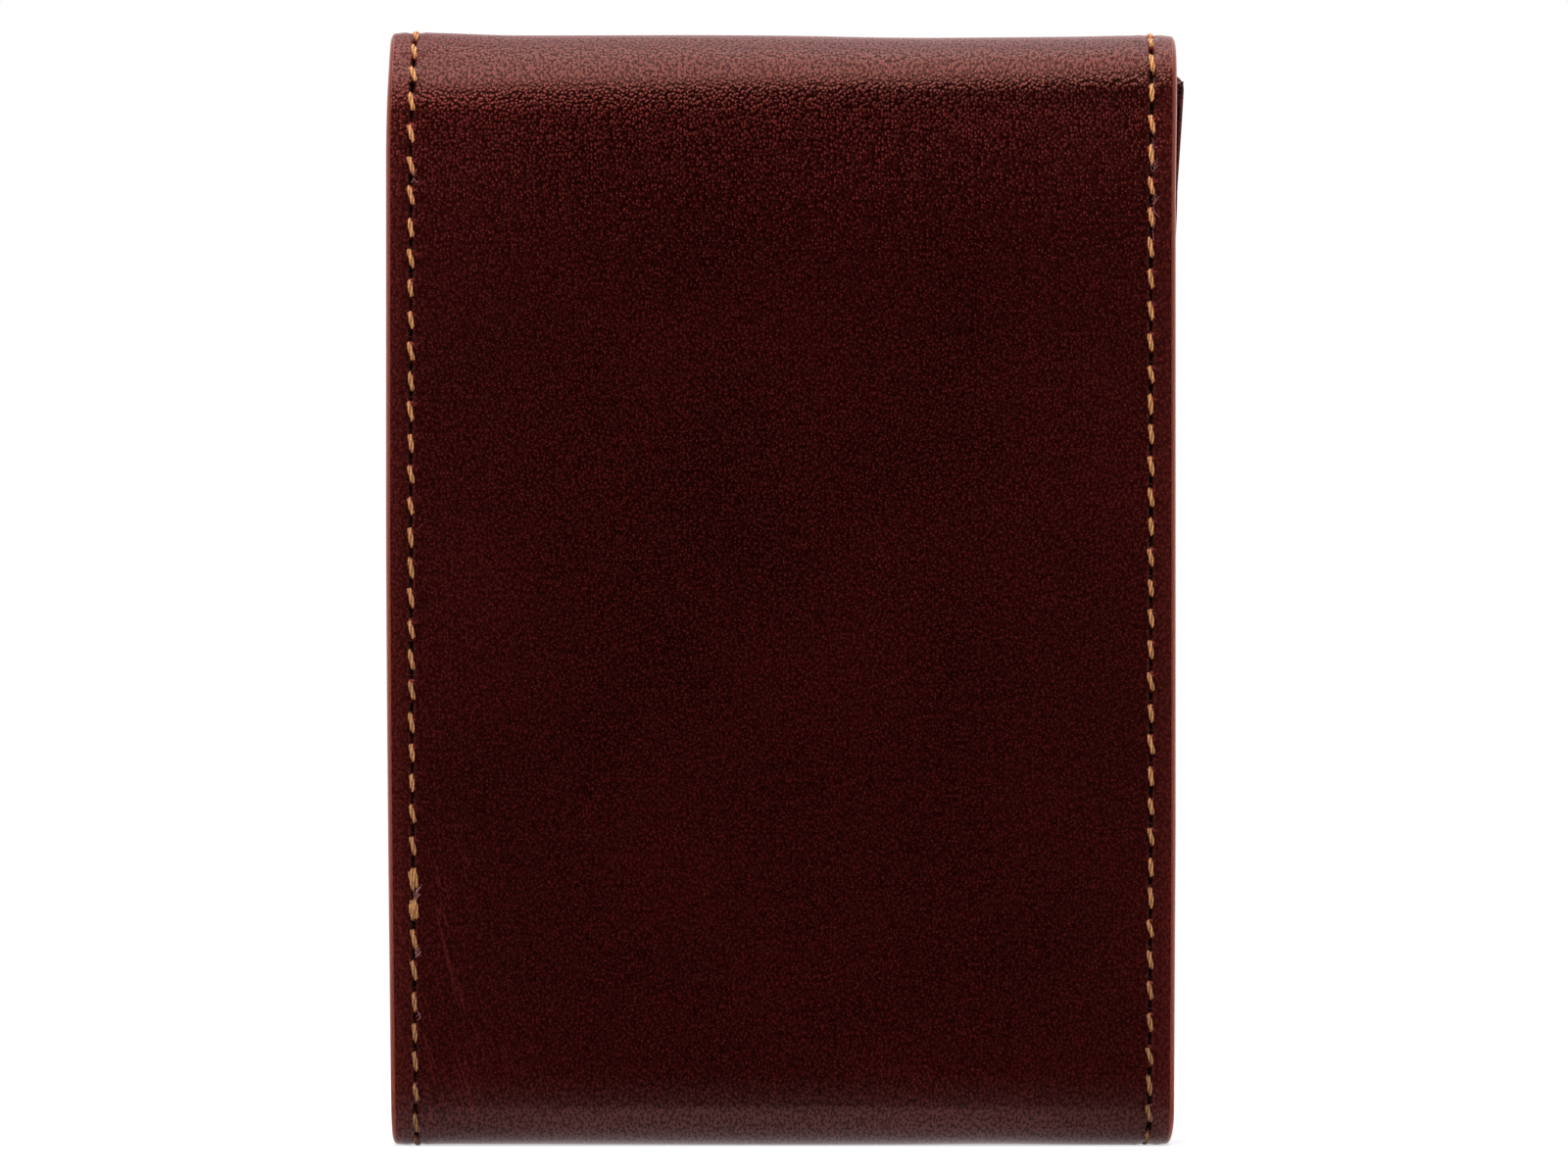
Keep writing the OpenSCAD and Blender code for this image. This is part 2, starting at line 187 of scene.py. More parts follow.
def place(x, s, depth):
    """Points in metres, for places on the strip at a depth below its outer face."""
    x, s, depth = (np.ravel(a).astype(float) for a in np.broadcast_arrays(x, s, depth))
    yz = np.zeros((len(s), 2))
    which = np.clip(np.searchsorted(STARTS, s, side="right") - 1, 0, len(STRIP) - 1)
    for i, (_, at) in enumerate(STRIP):
        here = which == i
        if here.any():
            point, outward = at(s[here] - STARTS[i])
            inwards = depth[here] + sag(x[here], s[here]) + softened(x[here], s[here])
            yz[here] = point - outward * inwards[:, None]
    on_front = s < STARTS[1]
    across = drawn_in(x, yz[:, 1])
    across[on_front] += flare(x[on_front], yz[on_front, 1])
    yz[on_front, 1] += 0.3 * flare(x[on_front], yz[on_front, 1]) ** 2
    return np.column_stack([across, yz]) * MM


def noise(x, y, cell, seed):
    """Smooth noise from -1 to 1, whose features are about a cell wide."""
    size = 64
    table = np.random.default_rng(seed).uniform(-1, 1, (size, size))
    i, j = np.floor(x / cell).astype(int), np.floor(y / cell).astype(int)
    a, b = smooth(x / cell - i, 0, 1), smooth(y / cell - j, 0, 1)

    def corner(di, dj):
        return table[(i + di) % size, (j + dj) % size]

    near = corner(0, 0) * (1 - a) + corner(1, 0) * a
    far = corner(0, 1) * (1 - a) + corner(1, 1) * a
    return near * (1 - b) + far * b


# ---- Meshes ----

GRAIN_MAP = "grain_mm"  # UV map that gives millimetres across and along the strip
HOLE_SHADE, CORE_SHADE = "in_hole", "from_core"  # point attributes that materials read for painted shade in stitch holes and between a thread's strands
RIM_STEPS = 7  # steps of a sheet's rounded rim
BACK_ROUNDING = 0.08  # of a rim's hidden side


def new_object(name, data):
    obj = bpy.data.objects.new(name, data)
    bpy.context.scene.collection.objects.link(obj)
    return obj


def make_object(name, points, uv, faces, kinds, materials):
    """A new object from lists of arrays: points in metres, the place on the grain in millimetres of each,
    and groups of faces. kinds says which of the materials each group has."""
    mesh = bpy.data.meshes.new(name)
    all_faces = [face for group in faces for face in group.tolist()]
    mesh.from_pydata(np.concatenate(points).tolist(), [], all_faces)
    for material in materials:
        mesh.materials.append(material)
    kinds = np.repeat(kinds, [len(group) for group in faces])
    mesh.polygons.foreach_set("material_index", kinds.astype(np.int32))
    mesh.polygons.foreach_set("use_smooth", np.ones(len(mesh.polygons), bool))
    layer = mesh.uv_layers.new(name=GRAIN_MAP)
    corner = np.zeros(len(mesh.loops), np.int32)
    mesh.loops.foreach_get("vertex_index", corner)
    layer.data.foreach_set("uv", np.concatenate(uv).astype(np.float32)[corner].ravel())
    mesh.validate()
    obj = new_object(name, mesh)
    return obj


def add_values(obj, name, values):
    """Gives an object's points a value each, which its material reads by name."""
    attribute = obj.data.attributes.new(name, "FLOAT", "POINT")
    attribute.data.foreach_set("value", values.astype(np.float32))


def grid_faces(grid):
    """The quads of a grid of points."""
    return np.stack([grid[:-1, :-1], grid[:-1, 1:], grid[1:, 1:], grid[1:, :-1]], -1).reshape(-1, 4)


def ring_faces(ring, new):
    """The quads between two closed rings of points."""
    return np.stack([ring, np.roll(ring, -1), np.roll(new, -1), new], -1)


def rim_profile(fine, hidden, rounding):
    """(inset, depth) pairs round a sheet's edge, from its fine face to its hidden one. The rounding is
    given as its width across the face and its depth into the edge."""
    inwards = math.copysign(1, hidden - fine)
    width, deep = rounding
    turn = np.linspace(0, math.pi / 2, RIM_STEPS + 1)
    face = [(width * (1 - math.sin(a)), fine + inwards * deep * (1 - math.cos(a))) for a in turn]
    back = [
        (BACK_ROUNDING * (1 - math.cos(a)), hidden - inwards * BACK_ROUNDING * (1 - math.sin(a)))
        for a in turn[::2]
    ]
    return face + back


def sheet_outline(straight, corner, spacing):
    """Rows down a sheet's right edge and round its corner: x, distance, and the outward direction."""
    count = max(2, round(straight / spacing))
    outline = [(HALF_W, value, 1.0, 0.0) for value in np.linspace(0, straight, count + 1)]
    if corner:
        core = HALF_W - corner
        steps = max(6, round(corner * math.pi / 2 / spacing))
        for a in np.linspace(0, math.pi / 2, steps + 1)[1:]:
            ux, us = math.cos(a), math.sin(a)
            outline.append((core + corner * ux, straight + corner * us, ux, us))
    return np.array(outline).T


def strip_sheet(name, start, end, columns, spacing, fine, hidden, rounding, materials, slot,
                corner=0.0, relief=None):
    """A layer of the strip between two distances along it. It is a grid on its fine face, with a rounded
    rim, and plain on its hidden face. Where corner is given, the far end is an edge with round corners."""
    way = math.copysign(1, end - start)
    qx, qt, nx, nt = sheet_outline(abs(end - start) - corner, corner, spacing)
    rows = len(qx)
    profile = rim_profile(fine, hidden, rounding)

    def spot(inset, u, row):
        """x and t of a column's place in a row, at an inset from the outline."""
        return u * (qx[row] - inset * nx[row]), qt[row] - inset * nt[row]

    u, row = (a.ravel() for a in np.meshgrid(columns, np.arange(rows)))
    x, at = spot(profile[0][0], u, row)
    inwards = math.copysign(1, hidden - fine)
    lift, hole = relief(x, start + way * at) if relief else np.zeros((2, len(x)))
    points = [place(x, start + way * at, fine + inwards * lift)]
    uv = [np.column_stack([x, start + way * at])]
    grid = np.arange(rows * len(columns)).reshape(rows, -1)
    faces = [grid_faces(grid)]

    # the rim follows the right side, the far edge if there is one, and the left side back
    right, far, left = grid[:, -1], grid[-1, -2:0:-1], grid[::-1, 0]
    total = grid.size
    ends = []
    for path in [np.concatenate([right, far, left])] if corner else [right, left]:
        ring = path
        travelled = 0.0
        for (inset0, depth0), (inset, depth) in zip(profile, profile[1:]):
            travelled += math.hypot(inset - inset0, depth - depth0)
            x, at = spot(inset, u[path], row[path])
            fade = max(0.0, 1 - abs(depth - fine) / rounding[1])
            points.append(place(x, start + way * at, depth + inwards * lift[path] * fade))
            map_x = x + np.sign(u[path]) * nx[row[path]] * travelled
            uv.append(np.column_stack([map_x, start + way * (at + nt[row[path]] * travelled)]))
            new = total + np.arange(len(path))
            total += len(path)
            faces.append(np.stack([ring[:-1], ring[1:], new[1:], new[:-1]], -1))
            ring = new
        ends.append(ring)

    # the hidden face has a strip for each row, and one many-sided face at a far edge
    rim = np.concatenate(ends)
    right, far, left = rim[:rows], rim[rows:-rows], rim[::-1][:rows]
    last = rows - 2 if corner else rows - 1
    faces.append(np.stack([left[:last], right[:last], right[1:last + 1], left[1:last + 1]], -1)[:, ::-1])
    if corner:
        faces.append(np.array([[*left[-2:], *far[::-1], *right[:-3:-1]]]))
    obj = make_object(name, points, uv, faces, [0] + [1] * (len(faces) - 1), materials)
    add_values(obj, HOLE_SHADE, np.pad(hole, (0, total - len(hole))))
    return face_outwards(obj)


def face_outwards(obj):
    """Turns a mesh's faces so that their normals agree and point out."""
    work = bmesh.new()
    work.from_mesh(obj.data)
    bmesh.ops.recalc_face_normals(work, faces=work.faces)
    work.to_mesh(obj.data)
    work.free()
    return obj


def side_columns(fine_step, coarse_step, fine_width, row_step=None):
    """Columns across the strip, from -1 to 1, closer together near the sides, and closest in the rows."""
    edge = np.arange(0, fine_width, fine_step)
    if row_step:
        row = np.arange(SEAM_INSET - 0.7, SEAM_INSET + 0.7, row_step)
        edge = np.concatenate([edge[edge < row[0] - row_step / 2], row, edge[edge > row[-1] + row_step / 2]])
    middle = np.linspace(fine_width, 2 * HALF_W - fine_width,
                         round((2 * HALF_W - 2 * fine_width) / coarse_step) + 1)
    x = np.concatenate([edge, middle, 2 * HALF_W - edge[::-1]]) - HALF_W
    return x / HALF_W


# ---- Stitching ----

SEAM_X = HALF_W - SEAM_INSET
HOLE_HALF = 0.34  # half the length of a slot between two stitches
HOLE_WIDTH = 0.2
HOLE_DEPTH = 0.8
PULL, PULL_AT_HOLES = 0.12, 0.09  # how far a row pulls the leather in, and further at holes
PULL_SPREAD = 0.4  # how softly that fades beside the row, in square mm
SWELL, LIP = 0.07, 0.07  # leather pushed up beside the row, and at a hole's sides
SLANT = -0.17  # how far a stitch's ends stand off its row
STITCH_REACH = 3.2  # how far from a hole its relief is felt


def row_places(start, end):
    """Holes along a row, from one distance to another."""
    return np.linspace(start, end, max(2, round(abs(end - start) / STITCH) + 1))


def uneven(places, seed):
    """Moves all holes but the first and the last a little along their row."""
    moved = places.copy()
    moved[1:-1] += np.random.default_rng(seed).normal(0, 0.13, len(places) - 2)
    return moved


def back_places(side):
    """Holes of one row on the back, which stay clear of where two skins meet."""
    places = S_BACK - BOTTOM_R + PHASE[side] + STITCH * np.arange(-20, 40)
    clear = HOLE_HALF * 2
    return uneven(places[(places > S_BOTTOM + clear) & (places < S_TOP - clear)], 5 + side)


BACK_HOLES = {side: back_places(side) for side in (-1, 1)}


def flap_holes():
    """Places of the holes round the flap, from the top of its left side to the top of its right one."""
    radius = FLAP_CORNER - SEAM_INSET
    core = HALF_W - FLAP_CORNER
    turn, bottom = math.pi / 2 * radius, 2 * core
    around = []
    for run in row_places(0, 2 * turn + bottom):
        if run < turn:
            a = run / radius
            around.append((-core - radius * math.cos(a), S_END - FLAP_CORNER + radius * math.sin(a)))
        elif run <= turn + bottom:
            around.append((-core + run - turn, S_END - SEAM_INSET))
        else:
            a = (run - turn - bottom) / radius
            around.append((core + radius * math.sin(a), S_END - FLAP_CORNER + radius * math.cos(a)))
    left, right = ([(side * SEAM_X, s) for s in row_places(BACK_HOLES[side][-1], S_END - FLAP_CORNER)]
                   for side in (-1, 1))
    return np.array(left + around[1:-1] + right[::-1])


def pocket_holes():
    """Places of the holes round the pocket front, up its left side, along the mouth and down the right."""
    left, right = ([(side * SEAM_X, s) for s in row_places(BACK_HOLES[side][0], SEAM_INSET)]
                   for side in (-1, 1))
    mouth = [(x, SEAM_INSET) for x in row_places(-SEAM_X, SEAM_X)[1:-1]]
    return np.array(left + mouth + right[::-1])


FLAP_ROW = flap_holes()
POCKET_ROW = pocket_holes()
BACK_ROWS = [np.array([(side * SEAM_X, s) for s in BACK_HOLES[side]]) for side in (-1, 1)]


def stitch_relief(x, s, rows):
    """Depth that stitches pull the leather in by, and how far inside a hole each place is: a channel runs
    along each row, and the leather is parted by a narrow slot where one stitch ends and the next starts."""
    pulled, hole = np.zeros(len(x)), np.zeros(len(x))
    for row in rows:
        for (x0, s0), way in zip(row, np.gradient(row, axis=0)):
            near = (np.abs(x - x0) < STITCH_REACH) & (np.abs(s - s0) < STITCH_REACH)
            if not near.any():
                continue
            ux, us = way / math.hypot(*way)
            ahead = (x[near] - x0) * ux + (s[near] - s0) * us
            aside = (x[near] - x0) * us - (s[near] - s0) * ux
            past = np.maximum(0, np.abs(ahead) - STITCH / 2)
            pull = PULL + PULL_AT_HOLES * np.cos(2 * math.pi * ahead / STITCH)
            channel = pull * np.exp(-(aside ** 2 + past ** 2) / PULL_SPREAD)
            swell = SWELL * np.exp(-((np.abs(aside) - 1.0) / 0.4) ** 2 - past ** 2 / PULL_SPREAD)
            width = HOLE_WIDTH * (1 + 0.25 * math.sin(12.9 * s0))  # no two holes are alike
            width = width * (1 - 0.35 * np.minimum(1, np.abs(ahead) / 0.6) ** 2)
            slot = np.exp(-(np.maximum(0, np.abs(ahead) - HOLE_HALF) / 0.16) ** 2 - (aside / width) ** 4)
            lip = LIP * np.exp(-((np.abs(aside) - 0.42) / 0.14) ** 2 - (ahead / 0.55) ** 4)
            pulled[near] = np.maximum(pulled[near], channel) - 0.5 * swell - lip
            hole[near] = np.maximum(hole[near], slot)
    return pulled + HOLE_DEPTH * hole, hole


class Thread:
    """Gathers the stitches of one seam into one mesh. A stitch is three strands wound round each other."""

    STRANDS, POINTS, SIDES = 3, 17, 6
    STRAND_R, STRAND_OFF = 0.133, 0.13  # a strand's radius, and how far it lies from the middle
    TURNS = -0.85  # of the strands round each other in one stitch
    RISE, RISE_SPREAD = 0.05, 0.02  # height of a stitch's middle over the leather
    REACH, REACH_SPREAD = 0.61, 0.04  # its length, as a share of the way from hole to hole
    DIP = 0.95  # how far its ends go down into their holes
    ON_CREST = -0.05  # lift of the stitches over the top fold's crest
    FIBRE_POINTS, FIBRE_SIDES, FIBRE_LIFT = 8, 4, 0.2

    def __init__(self, seed):
        self.random = np.random.default_rng(seed)
        self.points, self.faces, self.kinds, self.uv, self.groove, self.total = [], [], [], [], [], 0

    def add(self, points, uv, kind=0):
        """Takes (rings, sides, 3) points as one closed tube, of thread or of loose fibre."""
        rings, sides = points.shape[:2]
        index = self.total + np.arange(rings * sides).reshape(rings, sides)
        turned = np.roll(index, -1, axis=1)
        self.points.append(points.reshape(-1, 3))
        self.uv.append(np.repeat(uv, sides, axis=0))
        self.faces.append(np.stack([index[:-1], index[1:], turned[1:], turned[:-1]], -1).reshape(-1, 4))
        self.faces += [index[:1], index[-1:, ::-1]]
        self.kinds += [kind] * 3
        self.total += rings * sides

    def stitch(self, p, q, outer=True, face=0.0, size=1.0, shift=0.0, lift=0.0):
        """A stitch from hole p to hole q. On the inner side, face is the depth of the face it lies on.
        Its points are worked out as (along, aside, depth) of the line between the holes."""
        p, q = np.array(p, float), np.array(q, float)
        length = np.linalg.norm(q - p)
        ahead = (q - p) / length
        aside = np.array([ahead[1], -ahead[0]])
        slant = SLANT * (1 + 0.35 * self.random.normal())
        height = (self.RISE + self.RISE_SPREAD * self.random.normal() + lift) * size
        reach = (self.REACH + self.REACH_SPREAD * self.random.normal()) * (STITCH / length)
        c = np.sin(np.linspace(-1, 1, self.POINTS) * math.pi / 2)
        along = length * (c * reach + 1) / 2
        depth = -height + 0.2 * np.abs(c) ** 3 + self.DIP * smooth(np.abs(c), 0.76, 1.0)
        slope = np.gradient(depth, along + 1e-6 * np.arange(self.POINTS))
        upright = np.column_stack([slope, np.zeros(self.POINTS), -np.ones(self.POINTS)])
        normal, side = upright / np.hypot(1, slope)[:, None], np.array([0.0, 1.0, 0.0])
        turn = (np.arange(self.SIDES) * 2 * math.pi / self.SIDES)[:, None]
        ring = np.cos(turn) * normal[:, None] + np.sin(turn) * side
        spin = self.TURNS * np.linspace(0, 2 * math.pi, self.POINTS) + self.random.uniform(0, 6.28)
        wander = shift + slant * c + 0.02 * self.random.normal()
        taper = size * (1 - 0.3 * c ** 2)
        axis = np.column_stack([along, wander, depth])
        thread_r = (self.STRAND_OFF + self.STRAND_R) * taper[:, None]
        for k in range(self.STRANDS):
            a = (spin + 2 * math.pi * k / self.STRANDS)[:, None]
            centre = axis + self.STRAND_OFF * taper[:, None] * (np.cos(a) * side + np.sin(a) * normal)
            tube = centre[:, None] + self.STRAND_R * taper[:, None, None] * ring
            self.groove.append((np.linalg.norm(tube - axis[:, None], axis=2) / thread_r).ravel())
            flat_place = p + tube[..., 0:1] * ahead + tube[..., 1:2] * aside
            below = tube[..., 2] if outer else face - tube[..., 2]
            points = place(flat_place[..., 0], flat_place[..., 1], below).reshape(tube.shape)
            uv = np.column_stack([np.full(self.POINTS, k + 0.1 * shift), along + q[1]])
            self.add(points, uv)

    def row(self, holes, outer=True, face=0.0):
        """The stitches from hole to hole of a row, on the outer face or on an inner one."""
        for p, q in zip(holes, holes[1:]):
            on_crest = math.exp(-((p[1] + q[1]) / 2 - S_TOP) ** 2 / 18)
            self.stitch(p, q, outer, face, lift=self.ON_CREST * on_crest)

    def fibre(self, start, end, bow, radius):
        """A loose fibre of frayed thread or leather, between two places on the strip."""
        v = np.linspace(0, 1, self.FIBRE_POINTS)
        start, end = np.array(start, float), np.array(end, float)
        ahead = (end - start) / np.linalg.norm(end - start)
        aside = np.array([ahead[1], -ahead[0]])
        path = start + np.outer(v, end - start) + np.outer(bow * np.sin(math.pi * v), aside)
        depth = -self.FIBRE_LIFT * np.sin(math.pi * v * 0.85) - 0.12
        turn = np.arange(self.FIBRE_SIDES) * 2 * math.pi / self.FIBRE_SIDES
        x = path[:, :1] + radius * np.cos(turn) * aside[0]
        s = path[:, 1:] + radius * np.cos(turn) * aside[1]
        below = depth[:, None] + radius * np.sin(turn)
        self.groove.append(np.ones(x.size))
        self.add(place(x, s, below).reshape(*x.shape, 3), np.column_stack([v, v]), 1)

    def fray(self, at, count, reach, tall):
        """Curled fibres that stand out to the right of a place, as wide as reach and as high as tall."""
        for _ in range(count):
            start = np.array(at) + (self.random.uniform(0.0, 0.25), self.random.uniform(-0.4, 0.4) * tall)
            rise = math.copysign(self.random.uniform(0.3, 0.7), self.random.uniform(-0.5, 1.0)) * tall
            end = start + (self.random.uniform(0.1, 0.8) * reach, rise)
            self.fibre(start, end, self.random.uniform(-0.2, 0.2), self.random.uniform(0.014, 0.022))

    def finish(self, name):
        """The seam's object, of all that was added."""
        obj = make_object(name, self.points, self.uv, self.faces, self.kinds, [THREAD, FIBRE])
        add_values(obj, CORE_SHADE, np.concatenate(self.groove))
        return obj


# ---- Materials ----

SHINE_TINT = (1.0, 0.36, 0.29, 1)  # the dye colours the leather's shine
PEBBLES = 3.3  # pebbles of the grain to a millimetre
WHITE = (1, 1, 1, 1)
SHEEN = dict(Sheen_Weight=0.42, Sheen_Roughness=0.3, Sheen_Tint=(1.0, 0.25, 0.2, 1))


class Nodes:
    """The node tree of a material or a world, with short calls to add to it."""

    def __init__(self, owner):
        owner.use_nodes = True
        self.tree = owner.node_tree
        self.tree.nodes.clear()

    def node(self, kind, inputs=None, **settings):
        """A new node of type ShaderNode and kind. An input is a value or the output of another node."""
        node = self.tree.nodes.new("ShaderNode" + kind)
        for key, value in settings.items():
            setattr(node, key, value)
        for key, value in (inputs or {}).items():
            if isinstance(value, bpy.types.NodeSocket):
                self.link(value, node.inputs[key])
            else:
                node.inputs[key].default_value = value
        return node

    def link(self, source, target):
        self.tree.links.new(source, target)

    def grain_place(self, scale=(1, 1, 1), turn=0.0, order="POINT"):
        """Millimetres across and along the leather, stretched by scale and turned. In the order TEXTURE
        they are turned first and then shrunk, which draws a texture out along the turned direction."""
        uv = self.node("UVMap", uv_map=GRAIN_MAP)
        mapping = self.node("Mapping", {
            "Vector": uv.outputs[0], "Rotation": (0, 0, turn), "Scale": scale}, vector_type=order)
        return mapping.outputs[0]

    def across_and_along(self):
        """The two parts of a place on the leather."""
        return self.node("SeparateXYZ", {0: self.grain_place()}).outputs[:2]

    def value(self, name):
        return self.node("Attribute", attribute_name=name).outputs["Fac"]

    def noise(self, place, scale, detail, roughness, distortion=0.0):
        return self.node("TexNoise", {
            "Vector": place, "Scale": scale, "Detail": detail, "Roughness": roughness,
            "Distortion": distortion}).outputs["Fac"]

    def cells(self, place, scale):
        """The distance from the middle of a cell, and one random value from 0 to 1 for each cell."""
        cells = self.node("TexVoronoi", {"Vector": place, "Scale": scale}, voronoi_dimensions="2D")
        shade = self.node("SeparateColor", {0: cells.outputs["Color"]}).outputs[0]
        return cells.outputs["Distance"], shade

    def soft_cells(self, place, scale, smoothness):
        return self.node("TexVoronoi", {
            "Vector": place, "Scale": scale, "Smoothness": smoothness},
            feature="SMOOTH_F1", voronoi_dimensions="2D").outputs["Distance"]

    def spread(self, value, low, high, to_low=0.0, to_high=1.0, steps="LINEAR"):
        return self.node("MapRange", {
            "Value": value, "From Min": low, "From Max": high, "To Min": to_low, "To Max": to_high,
        }, interpolation_type=steps).outputs["Result"]

    def math(self, operation, a, b=0.0):
        return self.node("Math", {0: a, 1: b}, operation=operation).outputs[0]

    def product(self, first, *others):
        for other in others:
            first = self.math("MULTIPLY", first, other)
        return first

    def sum(self, first, *others):
        for other in others:
            first = self.math("ADD", first, other)
        return first

    def off(self, value, centre):
        """How far a value is from another, on either side."""
        return self.math("ABSOLUTE", self.math("SUBTRACT", value, centre))

    def blend(self, share, a, b):
        """Colour a where share is 0, and b where it is 1."""
        return self.node("Mix", {0: share, 6: a, 7: b}, data_type="RGBA").outputs[2]

    def seen(self):
        """1 for what the camera sees, directly or through clear things, and 0 for other rays."""
        rays = self.node("LightPath").outputs
        return self.math("MAXIMUM", rays["Is Camera Ray"], rays["Is Transmission Ray"])

    def bump(self, height, distance, strength=1.0, onto=None):
        inputs = {"Height": height, "Distance": distance, "Strength": strength}
        if onto is not None:
            inputs["Normal"] = onto
        return self.node("Bump", inputs).outputs[0]


class Shader(Nodes):
    """A material with one principled surface."""

    def __init__(self, name):
        self.material = bpy.data.materials.new(name)
        super().__init__(self.material)
        self.surface = self.node("BsdfPrincipled")
        self.output = self.node("OutputMaterial", {"Surface": self.surface.outputs[0]})

    def set(self, **values):
        """Gives the surface's inputs values that are the same all over."""
        for key, value in values.items():
            self.surface.inputs[key.replace("_", " ")].default_value = value

    def feed(self, **sockets):
        """Links the surface's inputs to what varies over it."""
        for key, socket in sockets.items():
            self.link(socket, self.surface.inputs[key.replace("_", " ")])


def grain(m, along, fine):
    """The outer leather's pebbles: the distance from the middle of one, and how much painted highlight each
    gets. These painted glints break up into points near the top fold, where the light falls, and are more
    even away from it."""
    from_fold = m.off(along, S_TOP)
    distance, shade = m.cells(m.grain_place((1, 0.85, 1)), PEBBLES)
    pebble = m.spread(distance, 0.05, 0.65)
    near_fold = m.spread(from_fold, 16, 40, 1.0, 0.15)
    uneven = m.product(m.spread(shade, 0.35, 1.0, 0.1, 1.5), near_fold)
    even = m.product(m.spread(fine, 0.4, 0.6, 0.3, 1.0), m.math("SUBTRACT", 1.0, near_fold))
    painted_glints = m.product(m.spread(pebble, 0.0, 0.42, 1.0, 0.0), m.spread(from_fold, 9, 28, 1.2, 0.5),
                      m.spread(from_fold, 45, 75, 1.0, 0.65), m.sum(uneven, even))
    return pebble, painted_glints


def red_creases(m, across, along):
    """Fine slanting creases low on the left of the back."""
    lines = m.noise(m.grain_place((1.6, 24, 1), math.radians(15), "TEXTURE"), 1.0, 2, 0.5)
    crease = m.spread(m.off(lines, 0.5), 0.0, 0.015, 0.7, 0.0)
    low_left = m.product(m.spread(across, -32, -22, 1.0, 0.0),
                         m.spread(along, S_TOP - 88, S_TOP - 78, 1.0, 0.0),
                         m.spread(along, S_BACK - 8, S_BACK))
    return m.product(crease, low_left)


def outer_leather():
    """Waxy dark leather with a pebbled grain, which stands out most near the top fold. Its colour carries
    painted glints and a painted highlight near the top fold, and painted shade in the grain's valleys and
    the stitch holes. The red dye tints its shine."""
    m = Shader("outer_leather")
    place = m.grain_place()
    across, along = m.across_and_along()
    from_fold, from_middle = m.off(along, S_TOP), m.math("ABSOLUTE", across)
    clouds, mottle = m.noise(place, 0.05, 2, 0.6), m.noise(place, 0.9, 4, 0.65)
    fine = m.noise(place, 3.2, 3, 0.75)
    pebble, painted_glints = grain(m, along, fine)
    tone = m.sum(m.product(clouds, 0.17), m.product(mottle, 0.28), m.product(fine, 0.55))
    colour = m.blend(m.spread(tone, 0.42, 0.58), (0.0025, 0.0001, 0.0002, 1), (0.0165, 0.0014, 0.0013, 1))
    # painted glints: light dots on the pebbles, strongest near the lit top fold
    colour = m.blend(painted_glints, colour, (0.14, 0.022, 0.018, 1))
    # lighter towards the sides, and a painted highlight along the top fold's crest
    lighter_sides_painted_crest = m.sum(m.spread(from_middle, 18, HALF_W - 2, 0.0, 0.05),
                 m.spread(from_middle, HALF_W - 2.6, HALF_W, 0.0, 0.25),
                 m.spread(from_fold, 3.0, 9.0, 0.8, 0.0))
    colour = m.blend(lighter_sides_painted_crest, colour, (0.1, 0.015, 0.012, 1))
    colour = m.blend(red_creases(m, across, along), colour, (0.05, 0.007, 0.006, 1))
    # painted shade in the grain's valleys and pores; the valleys also shine less
    pit = m.spread(m.cells(m.grain_place((1, 0.5, 1)), 3.0)[0], 0.14, 0.34, 1.0, 0.0)
    valley = m.math("MAXIMUM", m.spread(pebble, 0.72, 1.1, 0.0, 0.8), m.product(pit, 0.85))
    colour = m.blend(m.product(valley, 0.75), colour, (0.005, 0.0004, 0.0004, 1))
    # painted shade inside the stitch holes
    colour = m.blend(m.spread(m.value(HOLE_SHADE), 0.15, 0.6), colour, (0.003, 0.0009, 0.0008, 1))

    # under the bottom fold the leather is duller, and its shine less red
    under = m.product(m.spread(along, S_BACK, S_BACK + 3, 1.0, 0.0),
                      m.spread(along, FOOT_BEND[0] - 3, FOOT_BEND[0]))
    shine = m.blend(m.spread(from_fold, 9.5, 13), SHINE_TINT, (1.0, 0.17, 0.14, 1))
    m.feed(Base_Color=colour,
           Roughness=m.sum(m.spread(mottle, 0.3, 0.7, 0.13, 0.17), m.product(under, 0.1)),
           Specular_IOR_Level=m.product(m.spread(valley, 0.0, 1.0, 0.76, 0.08),
                                        m.spread(from_fold, 4.0, 9.0, 0.4, 1.0)),
           Specular_Tint=m.blend(under, shine, (0.95, 0.42, 0.42, 1)))

    dome = m.math("SUBTRACT", 1.0, m.math("POWER", pebble, 1.3))
    waves = m.noise(m.grain_place((0.5, 0.16, 1), math.radians(-38)), 1.6, 3, 0.6, 1.2)
    rough = m.bump(dome, 0.00005, m.spread(from_fold, 8, 24, 0.85, 0.2), m.bump(fine, 0.00002))
    m.feed(Normal=m.bump(waves, 0.00002, 1.0, rough))
    m.set(Specular_IOR_Level=0.65, Specular_Tint=SHINE_TINT, **SHEEN)  # for what drops the links
    return m.material


def leather_edge():
    """The burnished edge of the outer leather: redder and smoother than the face."""
    m = Shader("leather_edge")
    streaks = m.noise(m.grain_place((1, 0.35, 1)), 3.0, 3, 0.6)
    m.feed(Base_Color=m.blend(m.spread(streaks, 0.3, 0.7), (0.08, 0.015, 0.009, 1), (0.13, 0.027, 0.015, 1)),
           Roughness=m.spread(streaks, 0.3, 0.7, 0.2, 0.34), Normal=m.bump(streaks, 0.00003))
    m.set(Specular_IOR_Level=0.7, Specular_Tint=SHINE_TINT, **SHEEN)
    return m.material


